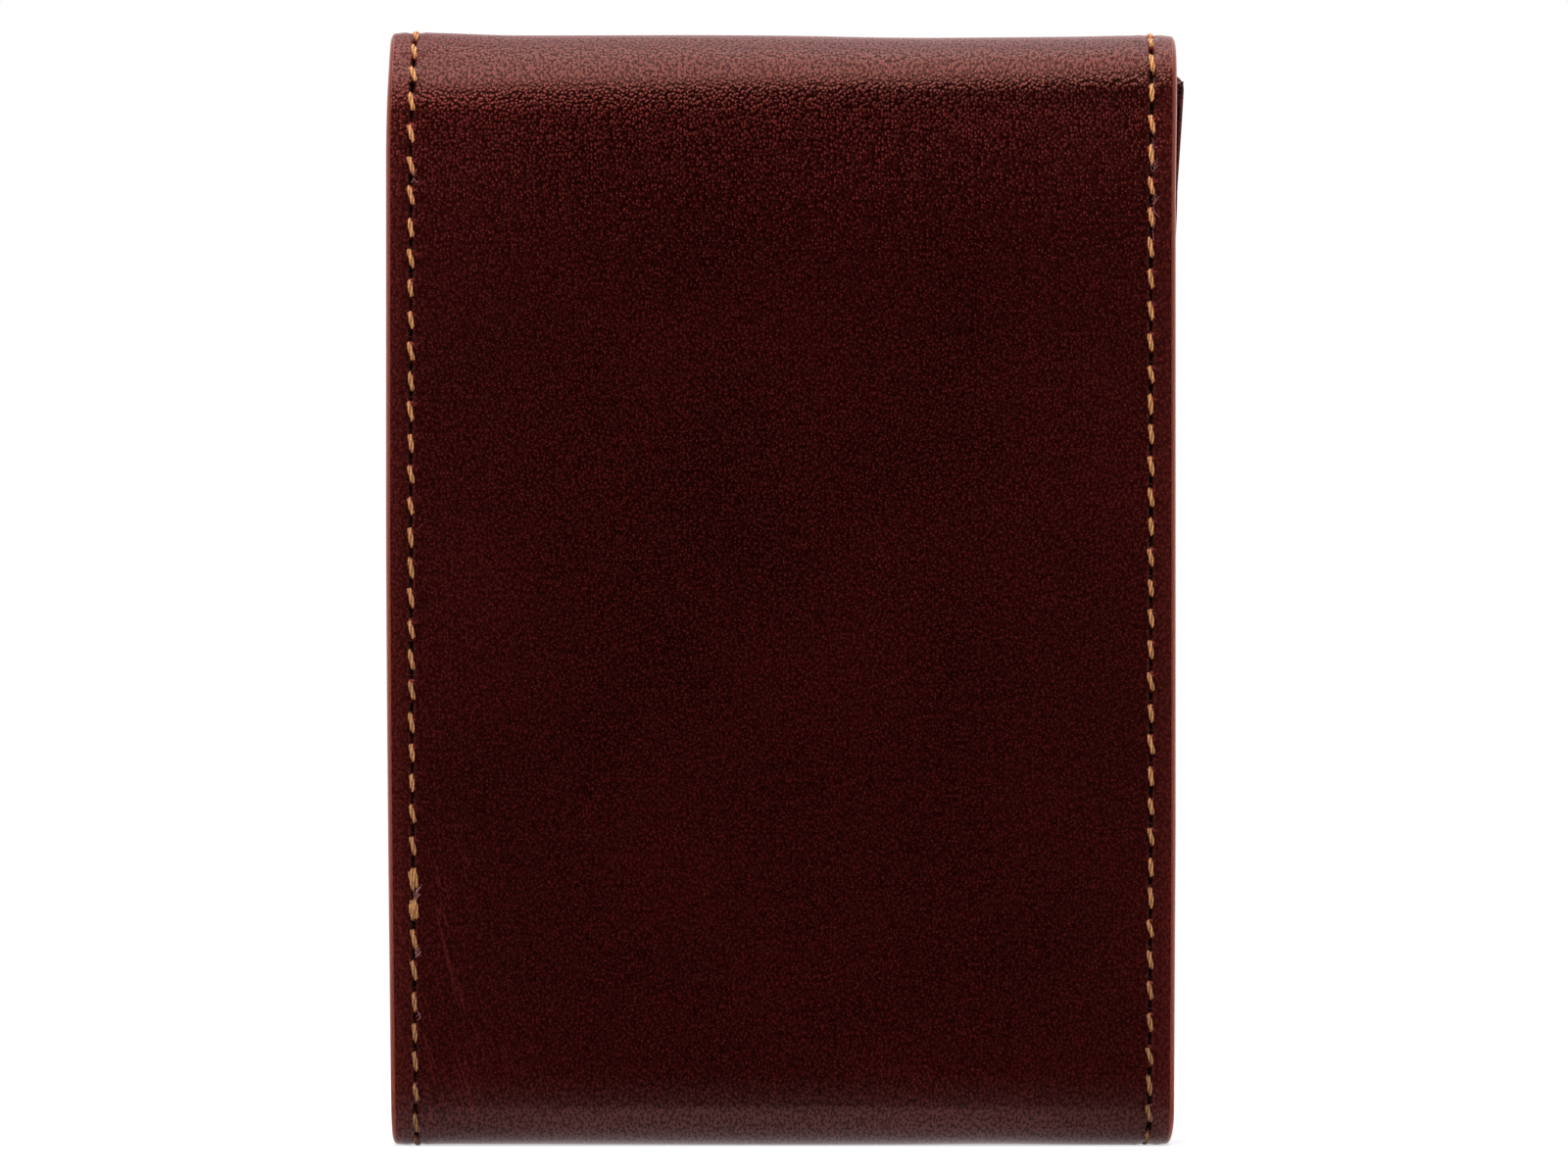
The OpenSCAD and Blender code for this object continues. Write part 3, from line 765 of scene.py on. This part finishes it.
def lining_leather(name, dark, light):
    """Thin smooth leather, matt, with a fine even grain."""
    m = Shader(name)
    place = m.grain_place()
    mottle = m.noise(place, 0.35, 5, 0.75)
    smooth_grain = m.bump(m.noise(place, 7, 3, 0.7), 0.00002)
    m.feed(Base_Color=m.blend(m.spread(mottle, 0.1, 0.9), dark, light),
           Normal=m.bump(m.soft_cells(place, 3.4, 0.5), 0.00003, 1.0, smooth_grain))
    m.set(Roughness=0.6, Specular_IOR_Level=0.3)
    return m.material


def card_board():
    """Grey-brown board with matted fibres."""
    m = Shader("board")
    fibres = m.noise(m.node("TexCoord").outputs["Object"], 900, 4, 0.7)
    m.feed(Base_Color=m.blend(fibres, (0.4, 0.32, 0.22, 1), (0.52, 0.43, 0.31, 1)),
           Normal=m.bump(fibres, 0.00002))
    m.set(Roughness=0.9)
    return m.material


def waxed_thread():
    """Tan waxed thread, darker here and there where it is soiled, with painted shade where its plies meet
    and painted shade that darkens it away from the lit top fold.
    """
    m = Shader("waxed_thread")
    fibres = m.noise(m.grain_place((6, 1.5, 1), 0.5), 2.4, 4, 0.75)
    soil = m.noise(m.grain_place(), 0.11, 2, 0.6)
    colour = m.blend(m.spread(fibres, 0.25, 0.75), (0.36, 0.127, 0.035, 1), (0.9, 0.415, 0.145, 1))
    colour = m.blend(m.spread(soil, 0.45, 0.75, 0, 0.35), colour, (0.26, 0.1, 0.035, 1))
    # painted shade where the strands meet
    colour = m.blend(m.spread(m.value(CORE_SHADE), 0.45, 0.95), (0.05, 0.016, 0.006, 1), colour)
    # painted shade: the thread darkens away from the lit top fold
    from_fold = m.off(m.across_and_along()[1], S_TOP)
    painted_light_share = m.product(m.spread(from_fold, 8, 27, 1.0, 0.68), m.spread(from_fold, 27, 85, 1.0, 0.7),
                      m.spread(from_fold, 85, 105, 1.0, 0.62))
    m.feed(Base_Color=m.blend(painted_light_share, (0, 0, 0, 1), colour), Normal=m.bump(fibres, 0.00004))
    m.set(Roughness=0.55, Specular_IOR_Level=0.35)
    return m.material


def loose_fibre():
    """Frayed fibres, paler here and there along their length."""
    m = Shader("loose_fibre")
    patches = m.spread(m.noise(m.grain_place(), 3.5, 2, 0.6), 0.35, 0.65)
    m.feed(Base_Color=m.blend(patches, (0.2, 0.08, 0.08, 1), (0.34, 0.16, 0.15, 1)))
    m.set(Roughness=0.7, Specular_IOR_Level=0.2)
    return m.material


LEATHER, EDGE = outer_leather(), leather_edge()
LINING = lining_leather("lining_leather", (0.105, 0.04, 0.022, 1), (0.15, 0.06, 0.033, 1))
LINING_EDGE = lining_leather("lining_edge", (0.15, 0.021, 0.013, 1), (0.22, 0.036, 0.022, 1))
BOARD, THREAD, FIBRE = card_board(), waxed_thread(), loose_fibre()


# ---- Leather and linings ----

def waviness(x, s, seed, size=0.12):
    """The slow unevenness of a leather face."""
    broad = noise(x, s, 23, seed) * 0.7 + noise(x + 7, s, 9, seed + 1) * 0.3
    from_edge = HALF_W - np.abs(x)
    eased = 0.16 * np.clip(1 - from_edge / 2.0, 0, 1) ** 2
    return size * broad * smooth(from_edge, 1.0, 6.0) + eased


def stitched(rows, seed, size=0.12):
    """The relief of a face with rows of stitches: its depth, and what lies in a hole."""
    def relief(x, s):
        pulled, hole = stitch_relief(x, s, rows)
        return waviness(x, s, seed, size) + pulled, hole
    return relief


def bend_ends(start, end):
    """Where a bend starts and ends, in the plane of the strip's line."""
    return [tuple(place(0, s, 0)[0] * (0, 1, 1)) for s in (start, end)]


TOP_REAR, TOP_FRONT = bend_ends(*REAR_BEND), bend_ends(*FRONT_BEND)
BOTTOM_FRONT = bend_ends(*FOOT_BEND[::-1])  # from the bottom, which stays, to the front, which moves


def on_back(obj, *nodes):
    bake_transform(obj)
    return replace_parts(obj, *nodes)


def on_flap(obj, *nodes):
    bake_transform(obj)
    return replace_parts(obj, *nodes)


def on_pocket(obj, *nodes):
    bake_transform(obj)
    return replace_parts(obj, *nodes)


OUTER = dict(fine=0, hidden=LEATHER_T, rounding=(0.45, 1.0), materials=[LEATHER, EDGE], slot="outer_leather")
INNER = dict(fine=STRIP_T, hidden=LEATHER_T, rounding=(0.15, 0.15), materials=[LINING, LINING_EDGE],
             slot="lining_leather")
BACK_COLUMNS = side_columns(0.18, 0.9, 4.6, 0.085)
FLAP_COLUMNS = side_columns(0.2, 0.45, 4.6)
PLAIN_COLUMNS = side_columns(0.4, 3.0, 4.0)


def make_strip():
    """The strip's leather and its lining, each in three sheets that meet on the top and the bottom."""
    on_back(strip_sheet("back_skin", S_BOTTOM, S_TOP, BACK_COLUMNS, 0.15,
                        relief=stitched(BACK_ROWS, 3), **OUTER),
            "back_leather", "spine_leather")
    on_flap(strip_sheet("flap_skin", S_TOP, S_END, FLAP_COLUMNS, 0.3, corner=FLAP_CORNER,
                        relief=stitched([FLAP_ROW], 13), **OUTER),
            "flap_leather")
    on_pocket(strip_sheet("pocket_skin", S_BOTTOM, 0, FLAP_COLUMNS, 0.3, corner=MOUTH_CORNER,
                          relief=stitched([POCKET_ROW], 23, 0.06), **OUTER),
              "pocket_leather")
    on_back(strip_sheet("back_inner", S_BOTTOM, S_TOP, PLAIN_COLUMNS, 0.8, **INNER),
            "back_lining", "spine_lining")
    on_flap(strip_sheet("flap_inner", S_TOP, S_END, PLAIN_COLUMNS, 0.8, corner=FLAP_CORNER, **INNER),
            "flap_lining")
    on_pocket(strip_sheet("pocket_inner", S_BOTTOM, 0, PLAIN_COLUMNS, 0.8, corner=MOUTH_CORNER, **INNER),
              "pocket_lining")


# ---- Gussets ----

SIDE_NAMES = {-1: "left", 1: "right"}
GUSSET_STEPS = 6  # points on a gusset's curve from one corner to the next
GUSSET_LEVELS = np.concatenate([np.linspace(0, 0.97, 45), [0.99, 0.997, 1.0]])


def gusset_line(out):
    """Plan of the right gusset's face from the back to the front. out is 0 for the face on the card
    side and 1 for the one on its open side."""
    middle, half = (SLIP_IN + POCKET_IN) / 2, (POCKET_IN - SLIP_IN) / 2
    edge_x = HALF_W - GUSSET_EDGE
    rear = GUSSET_T * out - half
    to_crease = [
        (HALF_W - 0.12, rear),
        (edge_x + 0.6, rear),
        (edge_x - 0.3, rear + 0.12),
        (edge_x - 1.1, rear + 0.62),
        (GUSSET_CREASE + 0.45 + 0.9 * out, 0.2 * out - 0.5),
        (GUSSET_CREASE - 0.1 + 0.95 * out, 0.0),
    ]
    from_crease = [(x, -y) for x, y in to_crease[-2::-1]]
    return [(x, middle + y) for x, y in to_crease + from_crease]


def smooth_line(points, steps):
    """A Catmull-Rom curve through points in a plane."""
    p = np.array([points[0], *points, points[-1]], float)
    out = []
    for a, b, c, d in zip(p, p[1:], p[2:], p[3:]):
        for t in np.linspace(0, 1, steps, endpoint=False):
            out.append(0.5 * (2 * b + (c - a) * t + (2 * a - 5 * b + 4 * c - d) * t * t
                              + (3 * b - a - 3 * c + d) * t ** 3))
    return np.array(out + [p[-1]])


def floor_under(y):
    """Height of the lining under a point inside the case, where a gusset ends at the bottom."""
    radius = BOTTOM_R - STRIP_T
    off = np.maximum(np.maximum(Y_BACK + BOTTOM_R - y, y - (Y_POCKET - BOTTOM_R)), 0)
    return BOTTOM_R - np.sqrt(np.maximum(radius ** 2 - np.minimum(off, radius) ** 2, 0))


def make_gusset(side):
    """A gusset folded in between the back and the pocket front; near the front, its top rises to the mouth
    and its edge flares out with the front's.
    """
    inner, outer = (smooth_line(gusset_line(out), GUSSET_STEPS) for out in (0, 1))
    loop = np.concatenate([inner, outer[::-1]])
    middle = (inner + outer) / 2
    centre = np.concatenate([middle, middle[::-1]])
    around = np.concatenate([[0], np.cumsum(np.linalg.norm(np.diff(loop, axis=0), axis=1))])
    points, uv = [], []
    for level in GUSSET_LEVELS:
        rounding = 0.25 * smooth(level, 0.985, 1.0)
        plan_x, y = (loop + (centre - loop) * rounding).T
        low_z = floor_under(y)
        with_front = smooth(y, (SLIP_IN + POCKET_IN) / 2, POCKET_IN - GUSSET_T)
        top = GUSSET_TOP + with_front * (Z_MOUTH - 0.4 - GUSSET_TOP)
        z = low_z + (top - low_z) * level
        bow = 0.12 * noise(y * 3, z, 8, 31 + (side > 0))
        x = side * (plan_x + bow * smooth(HALF_W - plan_x, GUSSET_EDGE, GUSSET_EDGE + 2))
        x = drawn_in(x, z) + with_front * flare(x, z)
        points.append(np.column_stack([x, y, z]) * MM)
        uv.append(np.column_stack([around, z]))
    rings = np.arange(len(GUSSET_LEVELS) * len(loop)).reshape(len(GUSSET_LEVELS), -1)
    faces = [ring_faces(low, high) for low, high in zip(rings, rings[1:])]
    for ring in (rings[0], rings[-1]):
        a, b = ring[:len(inner)], ring[len(inner):][::-1]
        faces.append(np.stack([a[:-1], a[1:], b[1:], b[:-1]], -1))
    name = SIDE_NAMES[side]
    obj = make_object(name + "_gusset_fold", points, uv, faces, [0] * len(faces), [LEATHER])
    face_outwards(obj)
    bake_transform(obj)
    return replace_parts(obj, name + "_gusset")


# ---- Seams ----

BACK_TACK = (21.0, 27.2)  # heights of the doubled stitches on the left
# frays of the left and the right row: (height, fibres) of each, how wide they reach and how tall they are
FRAYS = {
    -1: (((24.2, 9), (18.5, 6), (91.3, 4), (12.4, 2)), 0.8, 1.2),
    1: (((94.5, 3), (91.5, 5), (88.6, 5), (85.8, 2), (101, 1)), 0.85, 1.7),
}


def height_of(s):
    """Height of a place on the back's flat part."""
    return s - S_BACK + BOTTOM_R


def back_tack(thread, holes):
    """Doubled stitches where the thread was started and ended."""
    for p, q in zip(holes, holes[1:]):
        if BACK_TACK[0] < height_of((p[1] + q[1]) / 2) < BACK_TACK[1]:
            thread.stitch(p, q, size=0.92, shift=0.25, lift=0.13)
            thread.stitch(p, q - 0.18 * (q - p), size=0.86, shift=-0.2, lift=0.1)


def back_seam(side, holes):
    """The row at one side of the back, over the top and under the bottom as far as its skin goes."""
    name = SIDE_NAMES[side]
    thread = Thread(40 + side)
    thread.row(holes)
    if side < 0:
        back_tack(thread, holes)
    frays, reach, tall = FRAYS[side]
    for z, count in frays:
        nearest = holes[np.argmin(np.abs(height_of(holes[:, 1]) - z))]
        thread.fray(nearest, count, reach, tall)
    inside = holes[(holes[:, 1] > S_BACK) & (holes[:, 1] < REAR_BEND[0])]
    thread.row(inside, outer=False, face=STRIP_T + PANEL_T + GUSSET_T)
    on_back(thread.finish(f"rear_{name}_thread"), f"rear_{name}_seam", f"spine_{name}_seam")


def flap_seam():
    """The row round the flap; its inner side starts below the front bend."""
    thread = Thread(50)
    thread.row(FLAP_ROW)
    thread.row(FLAP_ROW[FLAP_ROW[:, 1] > FRONT_BEND[1] + 5], outer=False, face=STRIP_T + PANEL_T)
    on_flap(thread.finish("flap_thread"), "flap_seam")


def pocket_seams():
    """The row round the pocket front; inside, it shows at the sides, on the gussets."""
    thread = Thread(60)
    thread.row(POCKET_ROW)
    at_side = (POCKET_ROW[:, 1] < FOOT_BEND[0]) & (np.abs(POCKET_ROW[:, 0]) >= SEAM_X - 0.01)
    for side in (-1, 1):
        holes = POCKET_ROW[at_side & (np.sign(POCKET_ROW[:, 0]) == side)]
        thread.row(holes[np.argsort(holes[:, 1])], outer=False, face=STRIP_T + GUSSET_T)
    on_pocket(thread.finish("pocket_thread"), "front_left_seam", "front_right_seam", "mouth_seam")


# ---- Slip pockets ----

SLIP_ROWS = 70
SLIP_ROUNDING = 0.25  # of a panel's edges
SLIP_GAP = 0.02  # between a panel and the lining
NOTCH_EASE = 0.35  # how softly a notch runs into the edge beside it


def notched(x, top):
    """Place of a slip pocket's upper edge at x: a shallow round notch for the thumb, with eased corners."""
    radius = ((NOTCH_W / 2) ** 2 + NOTCH_D ** 2) / (2 * NOTCH_D)
    arc = NOTCH_D - radius + np.sqrt(np.maximum(radius ** 2 - x ** 2, 1.0))
    return top - np.log1p(np.exp(np.clip(arc / NOTCH_EASE, -30, 30))) * NOTCH_EASE


def slip_panel(name, low_of, high_of, bow, way, base):
    """A panel against the lining. low_of and high_of give its edges' heights at x; way and base turn a
    height into a distance along the strip. Its upper edge bows out a little, so that it stands open."""
    columns = side_columns(0.5, 0.9, 4.0) * HALF_W
    x_at, share = (a.ravel() for a in np.meshgrid(columns, np.linspace(0, 1, SLIP_ROWS)))
    grid = np.arange(len(x_at)).reshape(SLIP_ROWS, -1)
    loop = np.concatenate([grid[0, :-1], grid[:-1, -1], grid[-1, :0:-1], grid[:0:-1, 0]])
    front, back = STRIP_T + PANEL_T, STRIP_T + SLIP_GAP
    points, uv = [], []

    def add_points(inset, depth, x_at, share):
        """Points at an inset from the panel's outline. Its back bows out less than its front."""
        low_z, high_z = low_of(x_at) + inset, high_of(x_at) - inset
        x, z = x_at * (1 - inset / HALF_W), low_z + (high_z - low_z) * share
        out = bow * share ** 3 * (1 - (x_at / HALF_W) ** 4) + 0.05 * noise(x_at, z, 11, 71)
        points.append(place(x, base + way * z, depth + (1 if depth > back else 0.6) * np.maximum(out, 0)))
        uv.append(np.column_stack([x, z]))

    add_points(SLIP_ROUNDING, front, x_at, share)
    faces = [grid_faces(grid)]
    ring, total = loop, grid.size
    for turn in np.radians([30, 60, 90]):
        inset, deep = SLIP_ROUNDING * (1 - math.sin(turn)), SLIP_ROUNDING * (1 - math.cos(turn))
        add_points(inset, front - deep, x_at[loop], share[loop])
        new = total + np.arange(len(loop))
        faces.append(ring_faces(ring, new))
        ring, total = new, total + len(loop)
    add_points(0, back, x_at, share)
    faces += [ring_faces(ring, total + loop), grid_faces(grid)[:, ::-1] + total]
    kinds = [0, *[1] * (len(faces) - 2), 0]
    obj = make_object(name, points, uv, faces, kinds, [LINING, LINING_EDGE])
    return face_outwards(obj)


def flap_foot(x):
    """Height of the flap's lower edge at x, round its corners."""
    past = np.clip(np.abs(x) - (HALF_W - FLAP_CORNER), 0, FLAP_CORNER)
    return FLAP_CORNER - np.sqrt(FLAP_CORNER ** 2 - past ** 2)


def make_slip_pockets():
    """One panel against the back's lining, and one against the flap's."""
    rear = slip_panel("rear_slip_panel", lambda x: np.full(len(x), BOTTOM_R),
                      lambda x: notched(x, CASE_H - TOP_R), 0.3, 1, S_BACK - BOTTOM_R)
    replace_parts(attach(rear, "case"), "rear_slip_pocket")
    top = box_mm("flap_slip_pocket")[1][2]
    flap = slip_panel("flap_slip_panel", flap_foot, lambda x: notched(x, top), 0.15, -1, S_END)
    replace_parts(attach(flap, "flap"), "flap_slip_pocket")


def finish_boards():
    """The boards lie hidden in the leather, and keep their CAD shapes."""
    for name in ("back_stiffener", "flap_stiffener"):
        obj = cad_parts[name]
        obj.data.materials.clear()
        obj.data.materials.append(BOARD)


make_strip()
for side in (-1, 1):
    make_gusset(side)
for side, holes in zip((-1, 1), BACK_ROWS):
    back_seam(side, holes)
flap_seam()
pocket_seams()
make_slip_pockets()
finish_boards()


# ---- Studio, in metres ----

FLOOR_RADIUS = 0.22
DARK_ROOM = 0.04  # how bright the room is on the camera's side
CAMERA_DISTANCE = 0.95  # from the back
SEEN_WIDTH = 0.1487  # of the back's plane, across the picture


def make_floor():
    """A pale floor that fades into the white behind it; near the case it takes the case's shadow."""
    bpy.ops.mesh.primitive_circle_add(radius=FLOOR_RADIUS, vertices=96, fill_type="NGON")
    floor = bpy.context.object
    floor.name = "floor"
    m = Shader("floor")
    m.set(Base_Color=(0.8, 0.8, 0.8, 1), Roughness=0.9, Specular_IOR_Level=0.1)
    reflected = m.node("LightPath").outputs["Is Glossy Ray"]
    place = m.node("TexCoord").outputs["Object"]
    from_middle = m.node("VectorMath", {0: place}, operation="LENGTH").outputs["Value"]
    plain = m.product(m.seen(), m.spread(from_middle, 0.03, FLOOR_RADIUS * 0.9, 0.55, 1.0))
    dimmed = m.product(reflected, m.spread(from_middle, 0.02, 0.06, 0.0, 1 - DARK_ROOM))
    white = m.node("Emission", {"Color": WHITE, "Strength": m.math("SUBTRACT", 1.0, dimmed)})
    mix = m.node("MixShader", {
        0: m.math("MAXIMUM", plain, reflected), 1: m.surface.outputs[0], 2: white.outputs[0]})
    m.link(mix.outputs[0], m.output.inputs["Surface"])
    floor.data.materials.append(m.material)


def make_world():
    """White behind the case and to its sides, which its edges reflect, and a dark room before it."""
    world = bpy.data.worlds.new("studio")
    bpy.context.scene.world = world
    nodes = Nodes(world)
    way = nodes.node("TexCoord").outputs["Generated"]
    back = nodes.node("SeparateXYZ", {0: way}).outputs["Y"]
    behind = nodes.spread(back, -0.92, -0.3, DARK_ROOM, 1.0, "SMOOTHSTEP")
    level = nodes.math("MAXIMUM", behind, nodes.seen())
    white = nodes.node("Background", {"Color": WHITE, "Strength": level})
    nodes.node("OutputWorld", {"Surface": white.outputs[0]})


def make_camera():
    """Straight at the back, from far enough that the depth hardly shows."""
    camera = bpy.data.cameras.new("camera")
    camera.sensor_width = 36
    camera.lens = camera.sensor_width * CAMERA_DISTANCE / SEEN_WIDTH
    camera.clip_start, camera.clip_end = 0.05, 20
    obj = new_object("camera", camera)
    obj.location = (0.0003, Y_BACK * MM - CAMERA_DISTANCE, 0.053)
    obj.rotation_euler = (math.pi / 2, 0, 0)
    bpy.context.scene.camera = obj


def area_light(name, at, aim, size, power):
    """A rectangular light that points at a place."""
    light = bpy.data.lights.new(name, "AREA")
    light.shape = "RECTANGLE"
    light.size, light.size_y = size
    light.energy = power
    obj = new_object(name, light)
    obj.location = at
    obj.rotation_euler = (Vector(aim) - Vector(at)).to_track_quat("-Z", "Y").to_euler()
    return obj


make_floor()
make_world()
make_camera()
area_light("overhead", (0, -0.22, 0.75), (0, -0.21, 0), (1.0, 1.1), 9.5)
area_light("upper_front", (0, -1.02, 0.76), (0, 0, 0.1), (1.0, 0.4), 5.7)
area_light("band_light", (-0.45, -1.4, 0.62), (0, 0, 0.1), (0.9, 0.42), 1.4)
fill = area_light("front_fill", (-0.5, -1.3, 0.7), (0, 0, 0.05), (1.2, 0.9), 8)
fill.visible_glossy = False
bpy.context.scene.view_settings.view_transform = "Standard"
